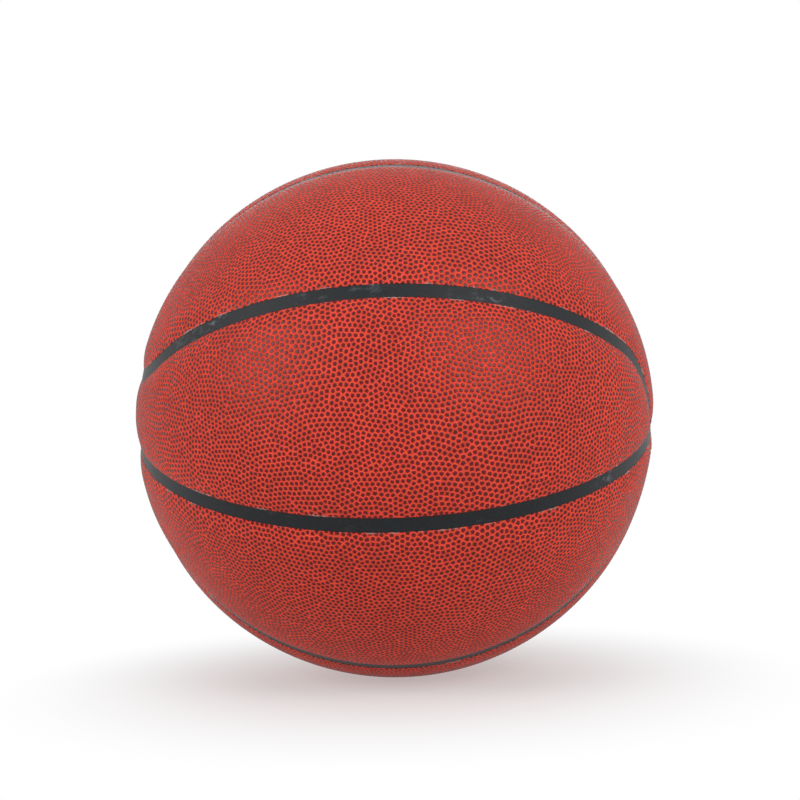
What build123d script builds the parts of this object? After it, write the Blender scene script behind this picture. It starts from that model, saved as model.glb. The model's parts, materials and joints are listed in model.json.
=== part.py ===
"""Size 7 basketball: eight cushioned cover panels laid between the ribs of a wound, inflated carcass.

The origin is the ball's centre. The two great seams cross at the poles, on +X and -X, the front panel is
centred on -Y, the valve is on +Y, and +Z is up.
"""
import os
from math import acos, asin, atan2, cos, degrees, pi, radians, sin, sqrt, tan

from build123d import *

# Ball and layers, in millimetres, from the cover inwards
ball_circumference = 760.0
cover_thickness = 2.0
foam_thickness = 1.6
carcass_thickness = 1.2
winding_thickness = 0.6
bladder_thickness = 0.8
bond_film = 0.15

# Seams: two great circles through the poles, and one wavy seam that runs midway between them and turns
# across the lower great seam near the right pole and across the upper one near the left pole
turn_gap = 30.0

# Channels: the ribs' tops are the black lines, and the panels roll down to them
rib_width = 6.0
rib_clearance = 0.15
channel_depth = 1.5
shoulder_width = 11.0
shoulder_drop = 1.3
shoulder_rise = 0.05

# Valve: a rubber body with a flange inside the bladder, and a soft plug held in it by its bulb
plug_stem_diameter = 4.0
plug_stem_length = 6.0
plug_neck_length = 1.2
plug_bulb_diameter = 6.0
plug_bulb_length = 6.0
needle_bore_diameter = 2.1
needle_bore_depth = 9.0
needle_lead_in = 0.5
slit_width = 1.8
slit_opening = 0.15
valve_wall = 1.7
valve_floor = 1.6
valve_outlet_diameter = 2.4
valve_flange_diameter = 26.0
valve_flange_thickness = 1.6
valve_flange_edge = 0.8
valve_clearance = 0.1
valve_recess = 0.5

# One overrun serves every cut
overrun = 4.0

# Radii of the layers
ball_radius = ball_circumference / (2 * pi)
cover_inner = ball_radius - cover_thickness
foam_outer = cover_inner - bond_film
foam_inner = foam_outer - foam_thickness
carcass_outer = foam_inner - bond_film
carcass_inner = carcass_outer - carcass_thickness
winding_outer = carcass_inner - bond_film
winding_inner = winding_outer - winding_thickness
bladder_outer = winding_inner - bond_film
bladder_inner = bladder_outer - bladder_thickness
rib_top = ball_radius - channel_depth

# Half widths across a channel, at the rib and between the panels' edges
rib_half = rib_width / 2
channel_half = rib_half + rib_clearance

# The valve's radii, and its heights along +Y from the ball's centre
stem_radius = plug_stem_diameter / 2
bulb_radius = plug_bulb_diameter / 2
throat_radius = stem_radius + valve_clearance
chamber_radius = bulb_radius + valve_clearance
neck_radius = throat_radius + valve_wall
barrel_radius = chamber_radius + valve_wall
valve_hole_radius = neck_radius + valve_clearance
valve_top = ball_radius - valve_recess
throat_end = valve_top - plug_stem_length
chamber_top = throat_end - plug_neck_length
plug_end = chamber_top - plug_bulb_length
chamber_floor = plug_end - valve_clearance
barrel_end = chamber_floor - valve_floor
flange_seat = bladder_inner - bond_film
flange_radius = valve_flange_diameter / 2

centre = Vector(0, 0, 0)
right_pole = Vector(1, 0, 0)


def about_poles(angle):
    """Unit vector square to the pole axis, turned up from the front by the angle."""
    return Vector(0, -cos(radians(angle)), sin(radians(angle)))


# Panels, named by where they lie round the pole axis, from the front upwards
panel_names = ("front", "front_upper", "top", "back_upper", "back", "back_lower", "bottom", "front_lower")
seam_spacing = 360 / len(panel_names)

# A turn of the wavy seam is an arc of a small circle, tangent to two straight stretches. Its circle is
# centred on the great seam that it crosses, turn_reach from the pole, and has the angular radius turn_size.
lower_great = -seam_spacing / 2
upper_great = lower_great + 90
gap_angle = turn_gap / ball_radius
turn_reach = atan2(sin(gap_angle), cos(gap_angle) - sin(radians(seam_spacing)))
turn_size = turn_reach - gap_angle
turn_half_sweep = acos(tan(turn_size) / tan(turn_reach))
straight_start = acos(cos(turn_reach) / cos(turn_size))


def list_seam_arcs():
    """Every arc of the seams, as its axis, the direction of its start and its sweep in degrees."""
    arcs = [(about_poles(angle + 90), right_pole, 360) for angle in (lower_great, upper_great)]
    for quarter in range(4):
        outward = about_poles(lower_great + seam_spacing + quarter * 90)
        start = right_pole * cos(straight_start) + outward * sin(straight_start)
        arcs.append((right_pole.cross(outward), start, 180 - 2 * degrees(straight_start)))
    for pole, crossed in ((right_pole, lower_great), (right_pole * -1, upper_great)):
        for angle in (crossed, crossed + 180):
            outward = about_poles(angle)
            middle = pole * cos(turn_reach) + outward * sin(turn_reach)
            to_pole = pole * sin(turn_reach) - outward * cos(turn_reach)
            aside = middle.cross(to_pole)
            rim = to_pole * cos(turn_half_sweep) - aside * sin(turn_half_sweep)
            start = middle * cos(turn_size) + rim * sin(turn_size)
            arcs.append((middle, start, 2 * degrees(turn_half_sweep)))
    return arcs


seam_arcs = list_seam_arcs()


def section_plane(axis, start):
    """Plane square across a seam, with its x along the ball's radius."""
    return Plane(origin=centre, x_dir=start, z_dir=axis.cross(start))


def parted_shell(outer_radius, inner_radius, half_width):
    """Hollow sphere parted into eight pieces by a channel of even width along every seam."""
    channel_height = outer_radius - inner_radius + 2 * overrun
    with BuildPart() as shell:
        Sphere(outer_radius)
        Sphere(inner_radius, mode=Mode.SUBTRACT)
        for axis, start, sweep in seam_arcs:
            with BuildSketch(section_plane(axis, start)):
                with Locations((inner_radius - overrun + channel_height / 2, 0)):
                    Rectangle(channel_height, 2 * half_width)
            revolve(axis=Axis(centre, axis), revolution_arc=sweep, mode=Mode.SUBTRACT)
    return shell.part


def pierce_for_valve():
    """Hole for the valve's neck through the layer being built, on +Y."""
    with Locations(Plane.XZ.offset(-(ball_radius + bladder_inner) / 2)):
        Cylinder(valve_hole_radius, ball_radius - bladder_inner + 2 * overrun, mode=Mode.SUBTRACT)


def panel_solid(layer, index):
    """The one of a layer's eight solids that lies at a panel's place."""
    toward = about_poles(index * seam_spacing)
    return max(layer.solids(), key=lambda solid: solid.center().dot(toward))


os.makedirs("parts", exist_ok=True)

# The shoulder is an arc tangent to a sphere a little above the panel's crown, and ends at the panel's lip
shoulder_turn = asin((channel_half + shoulder_width) / ball_radius)
shoulder_foot = Vector(ball_radius - shoulder_drop, channel_half)
shoulder_along = Vector(cos(shoulder_turn), sin(shoulder_turn))
shoulder_reach = ball_radius + shoulder_rise
foot_along = shoulder_foot.dot(shoulder_along)
foot_gap = shoulder_foot.length**2 - 2 * shoulder_reach * foot_along + shoulder_reach**2
shoulder_radius = foot_gap / (2 * (shoulder_reach - foot_along))
shoulder_centre = shoulder_along * (shoulder_reach - shoulder_radius)
shoulder_end = shoulder_along * shoulder_reach
shoulder_halfway = ((shoulder_foot - shoulder_centre) + (shoulder_end - shoulder_centre)).normalized()
shoulder_middle = shoulder_centre + shoulder_halfway * shoulder_radius
shoulder_clear = shoulder_along * (ball_radius + overrun)

with BuildPart() as covers:
    Sphere(ball_radius)
    Sphere(cover_inner, mode=Mode.SUBTRACT)
    for arc_axis, arc_start, arc_sweep in seam_arcs:
        with BuildSketch(section_plane(arc_axis, arc_start)):
            with BuildLine():
                Polyline((cover_inner - overrun, 0), (cover_inner - overrun, channel_half), shoulder_foot)
                ThreePointArc(shoulder_foot, shoulder_middle, shoulder_end)
                Polyline(shoulder_end, shoulder_clear, (shoulder_clear.X, 0))
                mirror(about=Plane.XZ)
            make_face()
        revolve(axis=Axis(centre, arc_axis), revolution_arc=arc_sweep, mode=Mode.SUBTRACT)
    pierce_for_valve()

with BuildPart() as pads:
    add(parted_shell(foam_outer, foam_inner, channel_half))
    pierce_for_valve()

for number, panel_name in enumerate(panel_names):
    for layer_name, layer in (("panel", covers), ("pad", pads)):
        piece = panel_solid(layer.part, number)
        piece.label = f"{layer_name}_{panel_name}"
        export_step(piece, f"parts/{piece.label}.step")

# Carcass: a sphere as large as the ribs' tops, with eight pockets for the pads
with BuildPart() as carcass:
    Sphere(rib_top)
    add(parted_shell(rib_top + overrun, carcass_outer, rib_half), mode=Mode.SUBTRACT)
    Sphere(carcass_inner, mode=Mode.SUBTRACT)
    pierce_for_valve()
carcass.part.label = "carcass"
export_step(carcass.part, "parts/carcass.step")

with BuildPart() as winding:
    Sphere(winding_outer)
    Sphere(winding_inner, mode=Mode.SUBTRACT)
    pierce_for_valve()
winding.part.label = "winding"
export_step(winding.part, "parts/winding.step")

with BuildPart() as bladder:
    Sphere(bladder_outer)
    Sphere(bladder_inner, mode=Mode.SUBTRACT)
    pierce_for_valve()
bladder.part.label = "bladder"
export_step(bladder.part, "parts/bladder.step")

# Valve body, turned about +Y: neck through the layers, flange against the bladder's wall, barrel inside it
seat_at_neck = sqrt(flange_seat**2 - neck_radius**2)
seat_at_rim = sqrt(flange_seat**2 - flange_radius**2)
neck_angle = degrees(acos(neck_radius / flange_seat))
rim_angle = degrees(acos(flange_radius / flange_seat))
flange_under = seat_at_neck - valve_flange_thickness
with BuildPart() as valve_body:
    with BuildSketch(Plane.XY):
        with BuildLine():
            Polyline((throat_radius, valve_top), (neck_radius, valve_top), (neck_radius, seat_at_neck))
            CenterArc((0, 0), flange_seat, rim_angle, neck_angle - rim_angle)
            Polyline(
                (flange_radius, seat_at_rim),
                (flange_radius, seat_at_rim - valve_flange_edge),
                (barrel_radius, flange_under),
                (barrel_radius, barrel_end),
                (valve_outlet_diameter / 2, barrel_end),
                (valve_outlet_diameter / 2, chamber_floor),
                (chamber_radius, chamber_floor),
                (chamber_radius, chamber_top),
                (throat_radius, throat_end),
                (throat_radius, valve_top),
            )
        make_face()
    revolve(axis=Axis.Y)
valve_body.part.label = "valve_body"
export_step(valve_body.part, "parts/valve_body.step")

# Valve plug: stem, bulb and a needle bore that ends above a closed slit
with BuildPart() as valve_plug:
    with BuildSketch(Plane.XY):
        with BuildLine():
            Polyline(
                (needle_bore_diameter / 2, valve_top - needle_bore_depth),
                (needle_bore_diameter / 2, valve_top - needle_lead_in),
                (needle_bore_diameter / 2 + needle_lead_in, valve_top),
                (stem_radius, valve_top),
                (stem_radius, throat_end),
                (bulb_radius, chamber_top),
                (bulb_radius, plug_end),
                (0, plug_end),
                (0, valve_top - needle_bore_depth),
                close=True,
            )
        make_face()
    revolve(axis=Axis.Y)
    with BuildSketch(Plane.XZ.offset(-plug_end + overrun)):
        Rectangle(slit_width, slit_opening)
    extrude(amount=-(valve_top - needle_bore_depth - plug_end) - overrun, mode=Mode.SUBTRACT)
valve_plug.part.label = "valve_plug"
export_step(valve_plug.part, "parts/valve_plug.step")
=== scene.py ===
# %% [markdown]
# # A pebbled basketball
#
# The solids come from the imported CAD part: eight cover panels, eight foam pads, a carcass whose ribs show as
# black channels, a thread winding, a bladder and a valve. Here the ball gets its looks. The frame is loaded
# first. Nothing that is added may make the ball larger.

# %% Load the frame
import json
from math import acos, asin, atan2, cos, pi, radians, sin, sqrt

import bpy
import numpy as np
from mathutils import Matrix, Vector
from mathutils.geometry import delaunay_2d_cdt


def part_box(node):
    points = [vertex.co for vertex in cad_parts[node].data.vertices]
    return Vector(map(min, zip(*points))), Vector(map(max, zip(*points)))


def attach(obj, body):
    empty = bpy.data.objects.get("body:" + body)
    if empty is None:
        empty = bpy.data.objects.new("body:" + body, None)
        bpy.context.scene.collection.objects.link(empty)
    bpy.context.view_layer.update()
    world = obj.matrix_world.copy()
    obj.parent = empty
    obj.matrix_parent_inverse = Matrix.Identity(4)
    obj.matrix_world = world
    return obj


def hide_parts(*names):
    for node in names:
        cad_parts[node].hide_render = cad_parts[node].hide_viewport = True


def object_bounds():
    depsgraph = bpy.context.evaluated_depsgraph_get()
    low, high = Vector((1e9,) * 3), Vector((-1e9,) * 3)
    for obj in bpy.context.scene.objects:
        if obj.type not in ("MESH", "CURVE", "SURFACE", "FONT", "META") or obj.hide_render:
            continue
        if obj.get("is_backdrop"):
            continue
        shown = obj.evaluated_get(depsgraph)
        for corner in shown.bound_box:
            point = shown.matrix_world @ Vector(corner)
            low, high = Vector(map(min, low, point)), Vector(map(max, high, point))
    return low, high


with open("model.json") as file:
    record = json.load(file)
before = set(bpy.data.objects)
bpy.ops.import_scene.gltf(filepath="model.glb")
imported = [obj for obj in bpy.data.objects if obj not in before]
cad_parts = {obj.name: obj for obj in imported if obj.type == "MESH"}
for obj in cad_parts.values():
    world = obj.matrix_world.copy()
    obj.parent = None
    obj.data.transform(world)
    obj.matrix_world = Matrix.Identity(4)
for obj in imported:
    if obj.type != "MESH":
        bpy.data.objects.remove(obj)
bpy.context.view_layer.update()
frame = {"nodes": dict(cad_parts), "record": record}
scene = bpy.context.scene
scene.view_settings.view_transform = "Standard"

MM = 0.001
stand_ring = next(m for m in frame["record"]["mounts"] if m["name"] == "stand_ring")
ball_radius = -stand_ring["pos_m"][2]
print(f"frame: {len(frame['nodes'])} solids, ball radius {ball_radius / MM:.2f} mm")

# %% [markdown]
# ## The camera
#
# A ball looks the same size at many distances, so its seams have to say how near the camera stands: close
# up, the upper and lower seams bow more. The seams in the photograph fit a camera a little over half a metre
# away, just under the height of the middle and rolled by less than two degrees. The three turns are applied
# one after another, and the lens is the one that gives the ball its width in the picture.

# %% Camera
picture_width = 800
ball_centre_px = (394.9, 418.2)
ball_radius_px = 259.2
camera_radii = 4.93
pitch_turn, yaw_turn, roll_turn = (radians(a) for a in (-2.20, -1.31, 1.65))
nearest_seen = 0.01

turn = (
    Matrix.Rotation(roll_turn, 3, "Z")
    @ Matrix.Rotation(yaw_turn, 3, "Y")
    @ Matrix.Rotation(pitch_turn, 3, "X")
)
to_right, to_top, to_camera = (Vector((row[0], -row[2], row[1])) for row in turn)
facing = Matrix((to_right, to_top, to_camera)).transposed().to_4x4()
camera_distance = camera_radii * ball_radius
focal_px = ball_radius_px * sqrt(camera_radii**2 - 1)
camera_data = bpy.data.cameras.new("camera")
camera = bpy.data.objects.new("camera", camera_data)
scene.collection.objects.link(camera)
camera_data.lens = focal_px / picture_width * camera_data.sensor_width
camera_data.shift_x = 0.5 - ball_centre_px[0] / picture_width
camera_data.shift_y = ball_centre_px[1] / picture_width - 0.5
camera_data.clip_start = nearest_seen
camera.matrix_world = Matrix.Translation(to_camera * camera_distance) @ facing
scene.camera = camera
print(f"camera: {camera_distance:.3f} m away, {camera_data.lens:.1f} mm lens")

# %% [markdown]
# ## Where the seams run
#
# Two great seams cross at the poles, left and right. A third, wavy seam runs midway between them, and near
# each pole it turns across one of them on an arc of a small circle. These are the CAD part's own values, in
# metres and degrees. The front panel has three edges: the lower great seam, the upper great seam at its left
# end, and the wavy seam. On a sphere each stretch of edge is a circle, so an axis and a height above the
# centre are enough to say how far a point lies inside it.

# %% Seam layout
turn_gap = 30.0 * MM
channel_half = 3.15 * MM
seam_spacing = 45


def about_poles(angle):
    """Unit vector square to the pole axis, turned up from the front by an angle in degrees."""
    return Vector((0, -cos(radians(angle)), sin(radians(angle))))


right_pole = Vector((1, 0, 0))
lower_great = -seam_spacing / 2
upper_great = lower_great + 90
wavy_middle = lower_great + seam_spacing
gap_angle = turn_gap / ball_radius
turn_reach = atan2(sin(gap_angle), cos(gap_angle) - sin(radians(seam_spacing)))
turn_size = turn_reach - gap_angle
straight_start = acos(cos(turn_reach) / cos(turn_size))
print(f"wavy seam: turns of {turn_size * ball_radius / MM:.1f} mm about points")
print(f"{turn_reach * ball_radius / MM:.1f} mm from the poles")

# %% Axes of the front panel's edges
above_lower_great = about_poles(lower_great + 90)
before_upper_great = about_poles(upper_great - 90)
below_wavy = about_poles(wavy_middle - 90)
right_turn_middle = right_pole * cos(turn_reach) + about_poles(lower_great) * sin(turn_reach)
left_turn_middle = -right_pole * cos(turn_reach) + about_poles(upper_great) * sin(turn_reach)
wavy_outward = about_poles(wavy_middle)
right_join = right_pole * cos(straight_start) + wavy_outward * sin(straight_start)
left_join = -right_pole * cos(straight_start) + wavy_outward * sin(straight_start)
right_sector = right_turn_middle.cross(right_join).normalized()
left_sector = left_turn_middle.cross(left_join).normalized()
right_sector *= 1 if right_sector.dot(right_pole) > 0 else -1
left_sector *= 1 if left_sector.dot(right_pole) < 0 else -1


def edge_distances(points):
    """How far points lie inside the front panel's edges, in metres along the ball, one column per edge."""
    unit = points / np.linalg.norm(points, axis=1)[:, None]
    on_right = unit @ np.array(right_sector) > 0
    on_left = unit @ np.array(left_sector) > 0
    wavy = np.arcsin(unit @ np.array(below_wavy))
    wavy = np.where(on_right, turn_size - np.arccos(unit @ np.array(right_turn_middle)), wavy)
    wavy = np.where(on_left, np.arccos(unit @ np.array(left_turn_middle)) - turn_size, wavy)
    lower = np.arcsin(unit @ np.array(above_lower_great))
    side = np.arcsin(unit @ np.array(before_upper_great))
    return np.stack([lower, side, wavy], axis=1) * ball_radius - channel_half


front_inside = edge_distances(np.array([about_poles(0)])).min()
print(f"front panel: its middle lies {front_inside / MM:.1f} mm inside the nearest edge")

# %% [markdown]
# ## A net of pebble centres
#
# The cover's grain is pressed into it: some five thousand pebbles on each panel, about 2.2 mm apart, in rows
# that bend and break. A texture could draw them, but real pebbles catch the light, so they are modelled. The
# points of a finely divided ico sphere are a good supply of centres, because they cover the ball evenly.
# Randomize throws them out of line. They are then left to find their own room, as bubbles in foam do: each
# moves towards the middle of the cell that is nearer to it than to any other, and after thirty rounds the
# rows have the bends and faults of real grain.

# %% Mesh helpers
def points_of(mesh):
    """A mesh's vertices as rows of x, y and z."""
    flat = np.empty(len(mesh.vertices) * 3)
    mesh.vertices.foreach_get("co", flat)
    return flat.reshape(-1, 3)


def set_points(mesh, points):
    """Puts rows of x, y and z back into a mesh."""
    mesh.vertices.foreach_set("co", np.ascontiguousarray(points, dtype=np.float32).ravel())
    mesh.update()


def add_attribute(mesh, name, domain, values):
    """Stores one number for each point or face of a mesh, under a name that a finish can read."""
    mesh.attributes.new(name, "FLOAT", domain).data.foreach_set("value", values)


def on_sphere(points, radius):
    """Points moved along the ball's radius to a distance from its centre, one for all or one for each."""
    return points * (radius / np.linalg.norm(points, axis=1))[:, None]


def select_only(mesh, kind, chosen):
    """In object mode, selects the chosen vertices, edges or polygons of a mesh and nothing else."""
    for part in ("vertices", "edges", "polygons"):
        part_list = getattr(mesh, part)
        part_list.foreach_set("select", chosen if part == kind else np.zeros(len(part_list), bool))
    mesh.update()


def edit(piece, kind):
    """Opens one piece in edit mode, with its vertices, edges or faces to select."""
    bpy.ops.object.select_all(action="DESELECT")
    piece.select_set(True)
    bpy.context.view_layer.objects.active = piece
    bpy.ops.object.mode_set(mode="EDIT")
    bpy.ops.mesh.select_mode(type=kind)


def leave_edit():
    """Goes back to object mode, which brings the mesh's data up to date."""
    bpy.ops.object.mode_set(mode="OBJECT")


# %% Supply of points
net_subdivisions = 2
net_cuts = 32
net_margin = 7.0 * MM
pebble_relief = 0.44 * MM
sheet_radius = ball_radius - pebble_relief


def ball_net(name, subdivisions):
    """An ico sphere of the cover sheet's radius, as a new piece."""
    bpy.ops.object.select_all(action="DESELECT")
    bpy.ops.mesh.primitive_ico_sphere_add(subdivisions=subdivisions, radius=sheet_radius)
    bpy.context.object.name = name
    return bpy.context.object


def drop_points_beyond(piece, margin):
    """Deletes what lies further than a margin outside the front panel."""
    select_only(piece.data, "vertices", edge_distances(points_of(piece.data)).min(axis=1) < -margin)
    edit(piece, "VERT")
    bpy.ops.mesh.delete(type="VERT")
    leave_edit()


grain = ball_net("grain", net_subdivisions)
edit(grain, "VERT")
bpy.ops.mesh.select_all(action="SELECT")
bpy.ops.mesh.subdivide(number_cuts=net_cuts)
leave_edit()
point_area = 4 * pi * sheet_radius**2 / len(grain.data.vertices)
pebble_pitch = sqrt(point_area * 2 / sqrt(3))
set_points(grain.data, on_sphere(points_of(grain.data), sheet_radius))
drop_points_beyond(grain, net_margin)
print(f"net: {len(grain.data.vertices)} points, {pebble_pitch / MM:.2f} mm apart")

# %% Scatter the points
scatter_pitches = 1.5
scatter_seed = 5

edit(grain, "VERT")
bpy.ops.mesh.select_all(action="SELECT")
bpy.ops.transform.vertex_random(
    offset=scatter_pitches * pebble_pitch, uniform=0, normal=0, seed=scatter_seed
)
leave_edit()
net_points = on_sphere(points_of(grain.data), sheet_radius)
print(f"scattered: by up to {scatter_pitches * pebble_pitch / MM:.1f} mm")

# %% Cells round the points
front_axis = np.array(about_poles(0))
map_tolerance = 1e-8
least_share = 1e-15


def on_flat_map(points):
    """Points on the ball's front, drawn on a flat map as they are seen from the back of the ball."""
    unit = on_sphere(points, 1)
    return (unit[:, [0, 2]] / (1 + unit @ front_axis)[:, None]).astype(np.float32)


def triangles_between(points, outline=()):
    """Delaunay triangles on the flat map as rows of point numbers, with an outline among their sides."""
    flat = [Vector(p) for p in on_flat_map(points)]
    all_triangles = 0
    return np.array(delaunay_2d_cdt(flat, outline, [], all_triangles, map_tolerance)[2])


def circle_centres(corners):
    """The middle of the circle through each triangle's corners, where three cells meet."""
    one, two = corners[:, 1] - corners[:, 0], corners[:, 2] - corners[:, 0]
    normal = np.cross(one, two)
    one_square, two_square = ((side**2).sum(axis=1)[:, None] for side in (one, two))
    across = np.cross(one_square * two - two_square * one, normal)
    return corners[:, 0] + across / (2 * (normal**2).sum(axis=1)[:, None])


def cell_middles(points, triangles):
    """The centre of area of every point's cell, summed from the slivers round each triangle's corners."""
    corners = points[triangles]
    meeting = circle_centres(corners)
    moment, area = np.zeros_like(points), np.full((len(points), 1), least_share)
    for i in range(3):
        here = corners[:, i]
        halfway = [(here + corners[:, (i + k) % 3]) / 2 for k in (1, 2)]
        for first, second in ((halfway[0], meeting), (meeting, halfway[1])):
            share = (np.cross(first - here, second - here) * here).sum(axis=1)[:, None]
            np.add.at(moment, triangles[:, i], share * (here + first + second) / 3)
            np.add.at(area, triangles[:, i], share)
    return moment / area


# %% Let the points settle
settle_rounds = 30
settle_stride = 1.5

is_inner = (edge_distances(net_points).min(axis=1) > pebble_pitch - net_margin)[:, None]
for _ in range(settle_rounds):
    goal = cell_middles(net_points, triangles_between(net_points))
    moved = np.where(is_inner, net_points + settle_stride * (goal - net_points), net_points)
    net_points = on_sphere(moved, sheet_radius)
net_triangles = triangles_between(net_points)
grain.data.clear_geometry()
grain.data.from_pydata(net_points, [], net_triangles.tolist())
neighbours = np.bincount(net_triangles.ravel(), minlength=len(net_points))[is_inner[:, 0]]
print(f"settled: {(neighbours == 6).mean():.0%} of the pebbles have six neighbours")

# %% [markdown]
# ## From the net to pebbles
#
# Geometry Nodes has a node that swaps a net's points for faces: Dual Mesh. Each point becomes one cell, and
# each cell is one pebble. Its corners go to where three cells meet at equal distances. Each cell is then
# inset twice, and each time the new face is drawn in towards its middle and made rounder. The first ring is
# the pebble's flank, which rises from the groove between pebbles, and the second is the edge of its top. Poke
# puts a point in the middle, a little higher, so the top is slightly domed. All this stays flat on the ball
# for now. An attribute called pebble holds how high each point will rise, from 0 in the groove to 1, and the
# cover's finish reads it too, so the colour follows the relief. A second attribute, tone, gives each pebble
# its own slight shade.

# %% Cells
cell_nodes = bpy.data.node_groups.new("cells", "GeometryNodeTree")
for direction in ("INPUT", "OUTPUT"):
    cell_nodes.interface.new_socket("Geometry", in_out=direction, socket_type="NodeSocketGeometry")
net_in, swap, cells_out = (
    cell_nodes.nodes.new(kind) for kind in ("NodeGroupInput", "GeometryNodeDualMesh", "NodeGroupOutput")
)
cell_nodes.links.new(net_in.outputs[0], swap.inputs[0])
cell_nodes.links.new(swap.outputs[0], cells_out.inputs[0])
grain.modifiers.new("cells", "NODES").node_group = cell_nodes
bpy.ops.object.modifier_apply(modifier="cells")
cell_corners = circle_centres(net_points[net_triangles])
is_near = np.linalg.norm(cell_corners - net_points[net_triangles[:, 0]], axis=1) < pebble_pitch
cell_corners = np.where(is_near[:, None], cell_corners, points_of(grain.data))
set_points(grain.data, on_sphere(cell_corners, sheet_radius))
print(f"cells: {len(grain.data.polygons)}")

# %% One tone for each cell
short_edge = 0.5 * MM
tone_seed = 7

edit(grain, "VERT")
bpy.ops.mesh.select_all(action="SELECT")
bpy.ops.mesh.remove_doubles(threshold=short_edge)
bpy.ops.mesh.select_all(action="SELECT")
leave_edit()
cell_tones = np.random.default_rng(tone_seed).random(len(grain.data.polygons))
add_attribute(grain.data, "tone", "FACE", cell_tones)
print(f"tones: {len(cell_tones)}, {cell_tones.mean():.2f} in the mean")

# %% Flat pebbles
ring_sizes = (0.645, 0.80)
ring_heights = (0.84, 0.93)
roundness = 0.6


def draw_in(mesh, size):
    """Shrinks each selected face to a size about its middle, and brings its corners nearer to a circle."""
    points = points_of(mesh)
    for face in mesh.polygons:
        if face.select:
            corners = list(face.vertices)
            middle = points[corners].mean(axis=0)
            arms = points[corners] - middle
            lengths = np.linalg.norm(arms, axis=1)
            stretch = 1 + roundness * (lengths.mean() / lengths - 1)
            points[corners] = middle + arms * (size * stretch)[:, None]
    set_points(mesh, points)


def grown(heights, mesh, height):
    """Heights with the points that are new or in a selected face set to one height."""
    raised = np.full(len(mesh.vertices), height)
    raised[: len(heights)] = heights
    raised[[v for face in mesh.polygons if face.select for v in face.vertices]] = height
    return raised


heights = np.zeros(len(grain.data.vertices))
for size, height in zip(ring_sizes, ring_heights):
    edit(grain, "FACE")
    bpy.ops.mesh.inset(thickness=0, depth=0, use_individual=True)
    leave_edit()
    draw_in(grain.data, size)
    heights = grown(heights, grain.data, height)
edit(grain, "FACE")
bpy.ops.mesh.poke()
bpy.ops.mesh.select_all(action="DESELECT")
leave_edit()
heights = grown(heights, grain.data, 1.0)
add_attribute(grain.data, "pebble", "POINT", heights)
print(f"pebbles: {len(cell_tones)}, {len(grain.data.polygons)} faces")

# %% [markdown]
# ## Cut the panels out
#
# A panel is cut from the grained sheet as a cutter would do it, straight through the pebbles. Every edge is a
# circle on the ball, and a circle on a ball lies in a plane, so Bisect makes each cut. The sheet then gets
# its relief, and drops near the edges along the same curve as the CAD panel's shoulder, because the cover
# rolls down over its pad. Its rim is extruded towards the ball's centre as the cut edge, and a plain lining
# of few triangles closes the back. Two more attributes are there for the finish. One, lip, marks the last
# millimetre before the edge, which the finish paints pale in patches, partly as rubbed wear and partly as a
# painted highlight where the lip catches the light. The other, backing, marks the cut edge and the lining,
# where the cover's dark backing cloth shows. The panel at the back of the ball has a hole for the valve, so
# it is made a second time.

# %% Cutting
channel_angle = asin(channel_half / ball_radius)
valve_hole_radius = 3.9 * MM
hole_angle = asin(valve_hole_radius / ball_radius)
stray_margin = 0.5 * MM
weld_distance = 0.0005 * MM


def side_of(mesh, plane_normal):
    """How far each polygon's middle lies beyond a plane through the ball's centre."""
    middles = np.empty(len(mesh.polygons) * 3)
    mesh.polygons.foreach_get("center", middles)
    return middles.reshape(-1, 3) @ np.array(plane_normal)


def cut(piece, axis, angle, chosen=None):
    """Cuts chosen faces along the circle at an angle from an axis, and keeps the part near the axis."""
    mesh = piece.data
    select_only(mesh, "polygons", np.ones(len(mesh.polygons), bool) if chosen is None else chosen)
    edit(piece, "FACE")
    level = axis * (cos(angle) * sheet_radius)
    bpy.ops.mesh.bisect(plane_co=level, plane_no=axis, clear_inner=True, threshold=weld_distance)
    leave_edit()


def cut_to_panel(piece, has_hole):
    """Cuts a sheet that lies on the ball to the front panel's outline."""
    square = pi / 2 - channel_angle
    cut(piece, above_lower_great, square)
    cut(piece, before_upper_great, square)
    cut(piece, below_wavy, square, side_of(piece.data, left_sector) < 0)
    cut(piece, right_turn_middle, turn_size - channel_angle, side_of(piece.data, right_sector) > 0)
    cut(piece, -left_turn_middle, pi - turn_size - channel_angle, side_of(piece.data, left_sector) > 0)
    if has_hole:
        cut(piece, -about_poles(0), pi - hole_angle)
    drop_points_beyond(piece, stray_margin)


# %% Rim and lining
cover_thickness = 2.0 * MM
cover_inner = ball_radius - cover_thickness
lining_subdivisions = 5
lining_margin = 2.0 * MM
lining_hole_angle = 2 * hole_angle


def extrude_rim(piece):
    """Extrudes the open edges to the panel's inner radius, and marks the new points as backing."""
    edit(piece, "EDGE")
    bpy.ops.mesh.select_all(action="DESELECT")
    bpy.ops.mesh.select_non_manifold(
        use_wire=False, use_multi_face=False, use_non_contiguous=False, use_verts=False
    )
    bpy.ops.mesh.extrude_edges_indiv()
    leave_edit()
    mesh = piece.data
    is_new = np.array([vertex.select for vertex in mesh.vertices])
    points = points_of(mesh)
    points[is_new] = on_sphere(points[is_new], cover_inner)
    set_points(mesh, points)
    add_attribute(mesh, "backing", "POINT", is_new.astype(float))
    return is_new


def is_within(spots, lines):
    """Whether each spot on a flat map has an odd number of an outline's lines on one side, so lies inside."""
    within = np.zeros(len(spots), bool)
    for (x_1, y_1), (x_2, y_2) in lines:
        is_level = (y_1 > spots[:, 1]) != (y_2 > spots[:, 1])
        lean = (x_2 - x_1) * (spots[:, 1] - y_1) - (spots[:, 0] - x_1) * (y_2 - y_1)
        within ^= is_level & ((lean > 0) == (y_2 > y_1))
    return within


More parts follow.
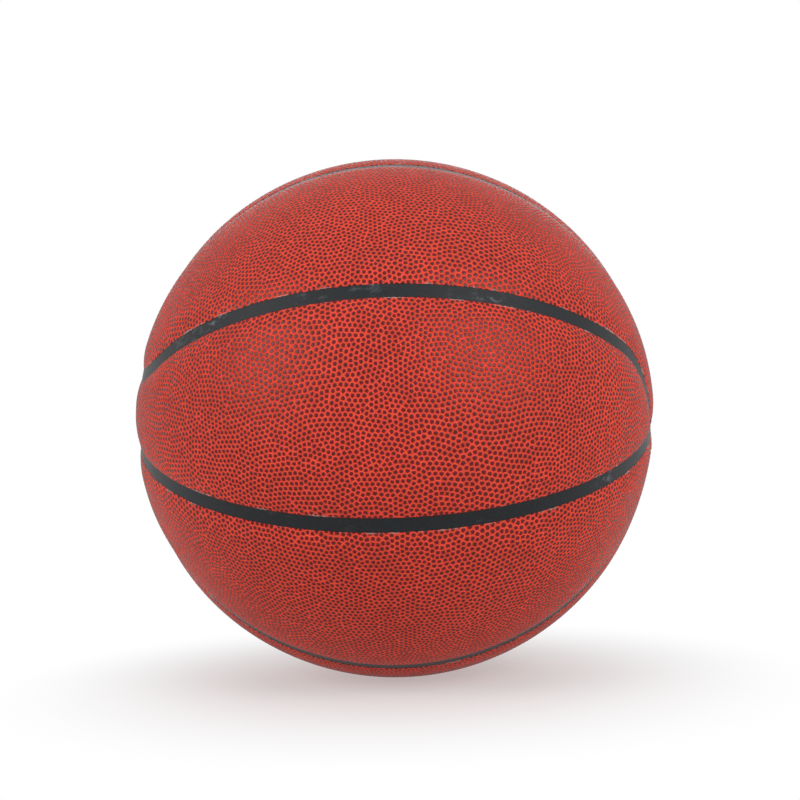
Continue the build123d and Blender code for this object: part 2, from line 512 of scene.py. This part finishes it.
def make_lining(piece, is_rim):
    """A sheet of few triangles that closes the back of a panel and shares the points of its rim."""
    net = ball_net("lining", lining_subdivisions)
    inner = on_sphere(points_of(net.data), cover_inner)
    off_hole = np.arccos(inner @ front_axis / cover_inner) > lining_hole_angle
    inner = inner[(edge_distances(inner).min(axis=1) > lining_margin) & off_hole]
    number = np.cumsum(is_rim) - 1
    rim_edges = [edge.vertices for edge in piece.data.edges if all(is_rim[v] for v in edge.vertices)]
    outline = [[number[v] for v in ends] for ends in rim_edges]
    points = np.concatenate([points_of(piece.data)[is_rim], inner])
    triangles = triangles_between(points, outline)
    flat = on_flat_map(points).astype(float)
    triangles = triangles[is_within(flat[triangles].mean(axis=1), flat[outline])]
    net.data.clear_geometry()
    net.data.from_pydata(points, [], triangles[:, ::-1].tolist())
    add_attribute(net.data, "backing", "POINT", np.ones(len(points)))
    return net


# %% Panel maker
shoulder_width = 11.0 * MM
shoulder_drop = 1.3 * MM
lip_width = 1.0 * MM
sharp_angle = radians(60)


def make_panel(name, has_hole):
    """A closed, pebbled panel at the front of the ball."""
    panel = grain.copy()
    panel.data = grain.data.copy()
    panel.name = name
    scene.collection.objects.link(panel)
    cut_to_panel(panel, has_hole)
    points = points_of(panel.data)
    rise = np.empty(len(points))
    panel.data.attributes["pebble"].data.foreach_get("value", rise)
    inside = np.clip(edge_distances(points).min(axis=1), 0, shoulder_width)
    drop = shoulder_drop * (1 - inside / shoulder_width) ** 2
    set_points(panel.data, on_sphere(points, sheet_radius + pebble_relief * rise - drop))
    add_attribute(panel.data, "lip", "POINT", 1 - np.clip(inside / lip_width, 0, 1))
    lining = make_lining(panel, extrude_rim(panel))
    bpy.ops.object.select_all(action="DESELECT")
    lining.select_set(True)
    panel.select_set(True)
    bpy.context.view_layer.objects.active = panel
    bpy.ops.object.join()
    edit(panel, "VERT")
    bpy.ops.mesh.select_all(action="SELECT")
    bpy.ops.mesh.remove_doubles(threshold=weld_distance)
    leave_edit()
    bpy.ops.object.shade_smooth_by_angle(angle=sharp_angle)
    return panel


def open_edges(mesh):
    """How many edges don't lie between exactly two faces."""
    edge_numbers = np.empty(len(mesh.loops), np.int32)
    mesh.loops.foreach_get("edge_index", edge_numbers)
    return (np.bincount(edge_numbers, minlength=len(mesh.edges)) != 2).sum()


front = make_panel("cover_front", False)
back = make_panel("cover_back", True)
bpy.data.objects.remove(grain)
for piece in (front, back):
    piece.data.calc_loop_triangles()
    print(f"{piece.name}: {len(piece.data.loop_triangles)} triangles, {open_edges(piece.data)} open edges")

# %% [markdown]
# ## Eight panels from one
#
# The seam layout has an eightfold symmetry: every panel is the front one turned, or mirrored and turned. So
# the finished panel is copied with its own mesh, and the copy's points go through the map. A mirror turns
# faces inside out, so those copies have their normals flipped.

# %% Copies
def half_turn(axis):
    """A turn of 180 degrees about an axis through the ball's centre."""
    return Matrix.Rotation(pi, 4, axis)


def mirror_in(normal):
    """A mirror in the plane through the ball's centre that is square to a normal."""
    return Matrix.Scale(-1, 4, normal)


mirror_poles = mirror_in(right_pole)
panel_maps = {
    "front": Matrix.Identity(4),
    "front_upper": half_turn(about_poles(wavy_middle)),
    "top": Matrix.Rotation(-radians(90), 4, "X") @ mirror_poles,
    "back_upper": mirror_in(about_poles(upper_great + 90)),
    "back": half_turn(right_pole),
    "back_lower": half_turn(about_poles(upper_great + seam_spacing)),
    "bottom": Matrix.Rotation(radians(90), 4, "X") @ mirror_poles,
    "front_lower": mirror_in(about_poles(lower_great + 90)),
}
panels = {"front": front, "back": back}
for place, panel_map in panel_maps.items():
    if place not in panels:
        panels[place] = front.copy()
        panels[place].data = front.data.copy()
        panels[place].name = f"cover_{place}"
        scene.collection.objects.link(panels[place])
    piece = panels[place]
    piece.data.transform(panel_map)
    if panel_map.determinant() < 0:
        piece.data.flip_normals()
    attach(piece, "root")
    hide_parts(f"panel_{place}")
    points = points_of(piece.data)
    low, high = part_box(f"panel_{place}")
    off = np.concatenate([points.min(axis=0) - np.array(low), points.max(axis=0) - np.array(high)])
    print(f"{piece.name}: box within {np.abs(off).max() / MM:.2f} mm of its CAD panel's")

# %% [markdown]
# ## Writing finishes as sums
#
# A finish is a small net of shader nodes. Wiring each node by hand hides the idea, so one class wraps a
# socket and lets Python's signs add the Math nodes: 1 - mask, grain * 0.2 + 0.4. Anything that isn't a sum
# goes through one method, which takes a node's type, its settings and what goes into its sockets. Noise and
# bump are in every finish, so they have short forms. A noise of scale 1000 has spots of about a millimetre,
# because the ball is measured in metres.

# %% Socket class
class Tap:
    """A shader socket that sums can be written with."""

    def __init__(self, tree, socket):
        self.tree, self.socket = tree, socket

    def node(self, kind, settings, sockets, output=0):
        """Adds a node, sets it up, fills its sockets with values or taps, and returns a tap on one output."""
        made = self.tree.nodes.new(kind)
        for name, value in settings.items():
            setattr(made, name, value)
        for name, value in sockets.items():
            if isinstance(value, Tap):
                self.tree.links.new(value.socket, made.inputs[name])
            else:
                made.inputs[name].default_value = value
        return Tap(self.tree, made.outputs[output])

    def sum(self, operation, first, second):
        """A Math node on two values."""
        return self.node("ShaderNodeMath", {"operation": operation}, {0: first, 1: second})

    def __add__(self, other):
        return self.sum("ADD", self, other)

    def __sub__(self, other):
        return self.sum("SUBTRACT", self, other)

    def __rsub__(self, other):
        return self.sum("SUBTRACT", other, self)

    def __mul__(self, other):
        return self.sum("MULTIPLY", self, other)

    __radd__, __rmul__ = __add__, __mul__

    def step(self, low, high):
        """0 below low, 1 above high, and a smooth rise between."""
        return self.node(
            "ShaderNodeMapRange",
            {"interpolation_type": "SMOOTHSTEP"},
            {"Value": self, "From Min": low, "From Max": high},
        )

    def between(self, first, second):
        """A colour that goes from the first to the second as this value goes from 0 to 1."""
        return self.node(
            "ShaderNodeMix", {"data_type": "RGBA"}, {"Factor": self, 6: first, 7: second}, output=2
        )

    def noise(self, scale, detail, roughness=0.5):
        """Cloudy noise at these coordinates, mostly between 0.3 and 0.7."""
        sockets = {"Vector": self, "Scale": scale, "Detail": detail, "Roughness": roughness}
        return self.node("ShaderNodeTexNoise", {}, sockets, "Fac")

    def bump(self, strength, distance):
        """The surface's normal, tilted as if this value were its height."""
        return self.node("ShaderNodeBump", {}, {"Height": self, "Strength": strength, "Distance": distance})


# %% Finish helpers
def paint(red, green, blue):
    """A colour given as screen values from 0 to 255, in the linear units that shaders use."""
    shares = [c / 255 for c in (red, green, blue)]
    linear = [((s + 0.055) / 1.055) ** 2.4 if s > 0.04 else s / 12.92 for s in shares]
    return (*linear, 1)


def new_finish(name, constants):
    """A material with its shader's constants set, and a tap on the object's coordinates."""
    finish = bpy.data.materials.new(name)
    finish.use_nodes = True
    shader = finish.node_tree.nodes["Principled BSDF"]
    for socket, value in constants.items():
        shader.inputs[socket].default_value = value
    start = Tap(finish.node_tree, shader.outputs[0])
    return finish, start.node("ShaderNodeTexCoord", {}, {}, "Object")


def feed(tap, **sockets):
    """Links taps to the shader's sockets; an underscore in a name stands for a space."""
    shader = tap.tree.nodes["Principled BSDF"]
    for name, value in sockets.items():
        tap.tree.links.new(value.socket, shader.inputs[name.replace("_", " ")])


def wear(piece, finish):
    """Gives a piece one finish and takes away any other."""
    piece.data.materials.clear()
    piece.data.materials.append(finish)


# %% [markdown]
# ## The cover's finish
#
# The composite leather is orange-red in the ground between the pebbles, and a dark wine colour has been
# rolled over their tops. The pebble attribute says which is which. The tops also carry a thin clear coat, so
# they gleam where they mirror a lamp, and the ground between them stays dull. Each pebble has its own slight
# shade, broad cloudy patches keep the panel from looking printed, and along the channels the lip is painted
# pale in places, partly as rubbed wear and partly as a painted highlight where its edge catches the light.

# %% Cover finish
ground_colour = paint(222, 76, 56)
top_colour = paint(95, 4, 9)
backing_colour = paint(70, 66, 67)
# Pale colour for the lip: partly rubbed wear, partly a painted highlight where the lip's edge catches the
# light.
pale_wear_and_highlight_colour = paint(196, 176, 170)
least_value, tone_range, cloud_range = 0.82, 0.24, 0.2
ground_roughness, top_polish, speck_roughness = 0.6, 0.2, 0.1
top_coat = 0.36
most_wear_and_highlight = 0.55

cover_finish, spot = new_finish(
    "pebbled_cover",
    {
        "Specular IOR Level": 0.08,
        "Coat Roughness": 0.25,
        "Sheen Weight": 0.05,
        "Sheen Roughness": 0.35,
        "Sheen Tint": (1, 0.5, 0.4, 1),
    },
)
pebble, tone, backing, lip = (
    spot.node("ShaderNodeAttribute", {"attribute_name": name}, {}, "Fac")
    for name in ("pebble", "tone", "backing", "lip")
)
clouds = spot.noise(scale=45, detail=3)
specks = spot.noise(scale=5200, detail=2)
wear_and_glint_patches = spot.noise(scale=110, detail=4)
rolled = pebble.step(low=0.61, high=0.87)
shade = spot.node(
    "ShaderNodeHueSaturation",
    {},
    {
        "Value": least_value + tone_range * tone + cloud_range * (clouds - 0.5),
        "Color": rolled.between(ground_colour, top_colour),
    },
)
# Pale patches along the lip: partly wear, partly a painted highlight on the lip's edge.
wear_and_painted_highlight = lip.step(low=0.35, high=0.9) * wear_and_glint_patches.step(low=0.52, high=0.66) * most_wear_and_highlight
is_backing = backing.step(low=0.1, high=0.4)
feed(
    spot,
    Base_Color=is_backing.between(wear_and_painted_highlight.between(shade, pale_wear_and_highlight_colour), backing_colour),
    Coat_Weight=top_coat * rolled,
    Roughness=ground_roughness - top_polish * rolled + speck_roughness * (specks - 0.5),
    Normal=specks.bump(strength=0.12, distance=0.03 * MM),
)
for piece in panels.values():
    wear(piece, cover_finish)
print(f"cover finish: {len(cover_finish.node_tree.nodes)} nodes, on {len(panels)} panels")

# %% [markdown]
# ## Black rubber channels
#
# The ribs are moulded on the carcass and show between the panels as black lines. Their rubber is satin, with
# a fine grain from its mould and a faint cool bloom in it. In patches it has pale scuffs, where hands and
# floors have rubbed it, and these are drawn out along the seams.

# %% Rubber finish
rubber_colour = paint(6, 7, 8)
rubber_bloom = paint(24, 31, 36)
scuff_colour = paint(128, 132, 140)
rubber_roughness, scuff_roughness, grain_roughness = 0.48, 0.2, 0.2
most_scuffed = 0.6
scuff_stretch = (0.4, 1.0, 1.0)

rubber_finish, spot = new_finish("channel_rubber", {"Specular IOR Level": 0.25})
along_seams = spot.node("ShaderNodeMapping", {}, {"Vector": spot, "Scale": scuff_stretch})
mould_grain = spot.noise(scale=1500, detail=3)
patches = spot.noise(scale=40, detail=2)
smears = along_seams.noise(scale=380, detail=5, roughness=0.7)
scuffs = patches.step(low=0.5, high=0.68) * smears.step(low=0.5, high=0.72) * most_scuffed
clean_rubber = mould_grain.step(low=0.3, high=0.75).between(rubber_colour, rubber_bloom)
feed(
    spot,
    Base_Color=scuffs.between(clean_rubber, scuff_colour),
    Roughness=rubber_roughness + scuff_roughness * scuffs + grain_roughness * (mould_grain - 0.5),
    Normal=mould_grain.bump(strength=0.3, distance=0.05 * MM),
)
wear(frame["nodes"]["carcass"], rubber_finish)
print(f"rubber finish: {len(rubber_finish.node_tree.nodes)} nodes, on the carcass")

# %% [markdown]
# ## Inside layers and the valve
#
# The layers under the cover hardly show, but a cut-away or an exploded view needs them: pale closed-cell
# foam, a shell of wound thread, dull bladder rubber, and the valve with its soft plug. The thread is four
# sets of bands that cross, and the rubbers share one recipe with their own colours.

# %% Foam and thread
foam_colours = paint(206, 200, 186), paint(236, 232, 220)
foam_roughness, bubble_roughness = 0.85, 0.1
thread_colours = paint(188, 184, 172), paint(236, 234, 226)
thread_roughness, thread_polish = 0.75, 0.2

foam_finish, spot = new_finish("pad_foam", {})
bubbles = spot.node("ShaderNodeTexVoronoi", {}, {"Vector": spot, "Scale": 900}, "Distance")
feed(
    spot,
    Base_Color=bubbles.step(low=0.0, high=0.9).between(*foam_colours),
    Roughness=foam_roughness + bubble_roughness * bubbles,
    Normal=bubbles.bump(strength=0.5, distance=0.3 * MM),
)

thread_finish, spot = new_finish("wound_thread", {})
strands = [
    spot.node(
        "ShaderNodeTexWave",
        {"wave_type": "BANDS", "bands_direction": direction},
        {"Vector": spot, "Scale": 420, "Distortion": 2.5, "Detail": 2, "Detail Scale": 0.3},
        "Fac",
    )
    for direction in ("X", "Y", "Z", "DIAGONAL")
]
crossing = spot.sum("MAXIMUM", strands[0] * strands[1], strands[2] * strands[3])
feed(
    spot,
    Base_Color=crossing.between(*thread_colours),
    Roughness=thread_roughness - thread_polish * crossing,
    Normal=crossing.bump(strength=0.6, distance=0.2 * MM),
)
print(f"foam finish: {len(foam_finish.node_tree.nodes)} nodes")
print(f"thread finish: {len(thread_finish.node_tree.nodes)} nodes")

# %% Bladder and valve
bloom_roughness = 0.2


def plain_rubber(name, colour, bloom_colour, roughness):
    """Moulded rubber with a fine grain and a faint cloudy bloom."""
    finish, spot = new_finish(name, {})
    bloom = spot.noise(scale=70, detail=5)
    pores = spot.noise(scale=3200, detail=2)
    feed(
        spot,
        Base_Color=bloom.step(low=0.45, high=0.8).between(colour, bloom_colour),
        Roughness=roughness + bloom_roughness * (bloom - 0.5),
        Normal=pores.bump(strength=0.25, distance=0.05 * MM),
    )
    return finish


inside_finishes = {
    "winding": thread_finish,
    "bladder": plain_rubber("bladder_rubber", paint(44, 44, 47), paint(70, 70, 74), roughness=0.62),
    "valve_body": plain_rubber("valve_rubber", paint(32, 32, 34), paint(54, 54, 57), roughness=0.5),
    "valve_plug": plain_rubber("plug_rubber", paint(58, 58, 61), paint(84, 84, 88), roughness=0.45),
}
for node, piece in frame["nodes"].items():
    if node.startswith("pad_"):
        wear(piece, foam_finish)
    elif node in inside_finishes:
        wear(piece, inside_finishes[node])
print(f"finishes: {len(bpy.data.materials)}")

# %% [markdown]
# ## Floor, backdrop and light
#
# The photograph is a studio shot on white. The walls here are the world, which is white to the camera and in
# reflections, and gives a low, even level of light. The floor is white too, except round the ball, where it
# shows the ball's shadow, and it sends a little light up to the underside. Large soft boxes at the left and
# right in front of the ball make the two broad gleams on the pebbles. A weaker one lights the top, and one
# behind lights the far side.

# %% Floor
floor_size = 8.0
floor_grey = 0.5
floor_glow = 0.4
shadow_full, shadow_gone = 0.05, 0.2
white = (1, 1, 1, 1)

bpy.ops.object.select_all(action="DESELECT")
bpy.ops.mesh.primitive_plane_add(size=floor_size, location=(0, 0, -ball_radius))
floor = bpy.context.object
floor.name = "floor"
floor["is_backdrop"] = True


def seen_directly(start):
    """1 for what the camera sees, directly or in a reflection, and 0 for the light that falls on things."""
    camera_ray, glossy_ray, glass_ray = (
        start.node("ShaderNodeLightPath", {}, {}, f"Is {kind} Ray")
        for kind in ("Camera", "Glossy", "Transmission")
    )
    return start.sum("MAXIMUM", start.sum("MAXIMUM", camera_ray, glossy_ray), glass_ray)


floor_finish, spot = new_finish(
    "floor",
    {
        "Base Color": (floor_grey, floor_grey, floor_grey, 1),
        "Roughness": 0.9,
        "Specular IOR Level": 0.0,
        "Emission Color": white,
        "Emission Strength": floor_glow,
    },
)
floor_tree = floor_finish.node_tree
lit_floor = Tap(floor_tree, floor_tree.nodes["Principled BSDF"].outputs[0])
white_floor = spot.node("ShaderNodeEmission", {}, {"Color": white, "Strength": 1.0})
from_ball = spot.node("ShaderNodeVectorMath", {"operation": "LENGTH"}, {"Vector": spot}, "Value")
is_white = seen_directly(spot) * from_ball.step(low=shadow_full, high=shadow_gone)
shown = spot.node("ShaderNodeMixShader", {}, {0: is_white, 1: lit_floor, 2: white_floor})
floor_tree.links.new(shown.socket, floor_tree.nodes["Material Output"].inputs["Surface"])
wear(floor, floor_finish)
print(f"floor: {floor_size:.0f} m across, {ball_radius / MM:.1f} mm under the ball's centre")

# %% Walls
wall_level = 0.3

world = bpy.data.worlds.new("studio")
scene.world = world
world.use_nodes = True
background = world.node_tree.nodes["Background"]
background.inputs["Color"].default_value = white
start = Tap(world.node_tree, background.outputs[0])
wall_strength = wall_level + (1 - wall_level) * seen_directly(start)
world.node_tree.links.new(wall_strength.socket, background.inputs["Strength"])
print(f"walls: {wall_level} as light, 1 to the camera and in reflections")

# %% Lamps
def soft_box(name, direction, distance, width, height, power):
    """An area light that faces the ball's centre."""
    lamp_data = bpy.data.lights.new(name, "AREA")
    lamp_data.shape = "RECTANGLE"
    lamp_data.size, lamp_data.size_y = width, height
    lamp_data.energy = power
    lamp = bpy.data.objects.new(name, lamp_data)
    scene.collection.objects.link(lamp)
    lamp.visible_camera = False
    lamp.location = Vector(direction).normalized() * distance
    lamp.rotation_mode = "QUATERNION"
    lamp.rotation_quaternion = Vector(direction).to_track_quat("Z", "Y")


soft_box("left_box", (-0.735, -0.56, 0.36), distance=1.1, width=0.6, height=0.65, power=5.1)
soft_box("right_box", (0.57, -0.7, 0.39), distance=1.1, width=0.72, height=0.65, power=6.3)
soft_box("top_box", (0, -0.55, 1), distance=1.2, width=1.0, height=0.6, power=1.0)
soft_box("back_box", (0, 1, 0.5), distance=1.3, width=1.2, height=0.8, power=4.5)
print(f"lamps: {len(bpy.data.lights)}, {sum(lamp.energy for lamp in bpy.data.lights):.1f} W in all")

# %% [markdown]
# ## The ball's size
#
# Nothing that was added may reach past the CAD part. The box of the dressed ball is measured over every
# piece that renders, apart from the floor.

# %% Finish
low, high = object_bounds()
